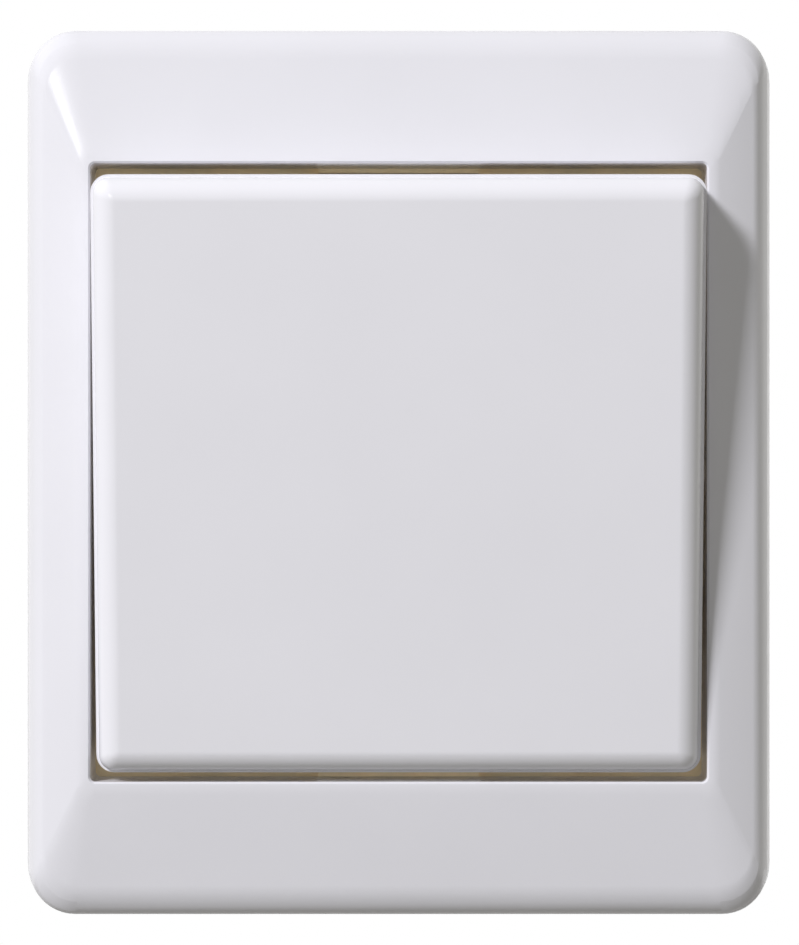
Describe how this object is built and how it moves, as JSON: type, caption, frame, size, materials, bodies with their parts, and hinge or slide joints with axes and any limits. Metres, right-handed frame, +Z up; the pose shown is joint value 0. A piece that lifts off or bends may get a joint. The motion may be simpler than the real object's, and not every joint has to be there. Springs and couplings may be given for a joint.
{
  "type": "two-pole light switch",
  "caption": "Flush wall light switch: a broad tilting rocker in a raised rectangular cover frame, on a steel yoke with a moulded double-pole base and screw terminals behind.",
  "frame": {"origin": "midway between the box screws, in the wall plane", "axes": "+Z up along the frame's longer side, +Y into the wall, +X to the right seen from the room"},
  "size_m": [0.084, 0.0417, 0.0988],
  "materials": {
    "cover_white": "smooth white moulding, softly glossy",
    "rocker_white": "smooth white moulding, softly glossy",
    "cradle_plastic": "natural matt moulding",
    "carrier_plastic": "cream matt moulding",
    "yoke_steel": "zinc plated, yellow passivated",
    "base_plastic": "dark thermoset moulding",
    "screw_steel": "zinc plated",
    "plunger_plastic": "natural acetal",
    "spring_steel": "drawn wire",
    "contact_copper": "stamped copper alloy",
    "contact_silver": "silver alloy",
    "terminal_brass": "stamped brass"
  },
  "bodies": {
    "switch_body": {"cover_frame": "cover_white", "front_carrier": "carrier_plastic", "mounting_yoke": "yoke_steel", "base_housing": "base_plastic", "carrier_screws": "screw_steel", "terminal_screws": "screw_steel", "common_terminal_left": "terminal_brass", "switched_terminal_left": "terminal_brass", "fixed_contact_left": "contact_silver", "line_cage_left": "terminal_brass", "load_cage_left": "terminal_brass", "common_terminal_right": "terminal_brass", "switched_terminal_right": "terminal_brass", "fixed_contact_right": "contact_silver", "line_cage_right": "terminal_brass", "load_cage_right": "terminal_brass"},
    "rocker": {"rocker_cap": "rocker_white", "rocker_cradle": "cradle_plastic", "plunger_spring_left": "spring_steel", "plunger_spring_right": "spring_steel"},
    "plunger_left": {"plunger_left": "plunger_plastic"},
    "lever_left": {"contact_lever_left": "contact_copper", "moving_contact_left": "contact_silver"},
    "plunger_right": {"plunger_right": "plunger_plastic"},
    "lever_right": {"contact_lever_right": "contact_copper", "moving_contact_right": "contact_silver"}
  },
  "joints": [
    {"name": "rocker_tilt", "type": "hinge", "parent": "switch_body", "child": "rocker", "pos_m": [0, -0.0094, 0], "axis": [-1, 0, 0], "range_deg": [0, 12]},
    {"name": "lever_left_swing", "type": "hinge", "parent": "switch_body", "child": "lever_left", "pos_m": [-0.007, 0.0095, 0], "axis": [1, 0, 0], "range_deg": [0, 17]},
    {"name": "plunger_left_slide", "type": "slide", "parent": "rocker", "child": "plunger_left", "axis": [0, -0.9945, -0.1045], "range_m": [0, 0.0006], "stiffness_N_per_m": 800, "springref_m": -0.002, "deforming": ["plunger_spring_left"]},
    {"name": "lever_right_swing", "type": "hinge", "parent": "switch_body", "child": "lever_right", "pos_m": [0.007, 0.0095, 0], "axis": [1, 0, 0], "range_deg": [0, 17]},
    {"name": "plunger_right_slide", "type": "slide", "parent": "rocker", "child": "plunger_right", "axis": [0, -0.9945, -0.1045], "range_m": [0, 0.0006], "stiffness_N_per_m": 800, "springref_m": -0.002, "deforming": ["plunger_spring_right"]}
  ],
  "couplings": [
    {"joint": "lever_left_swing", "follows": "rocker_tilt", "ratio": 1.4167},
    {"joint": "lever_right_swing", "follows": "rocker_tilt", "ratio": 1.4167}
  ]
}
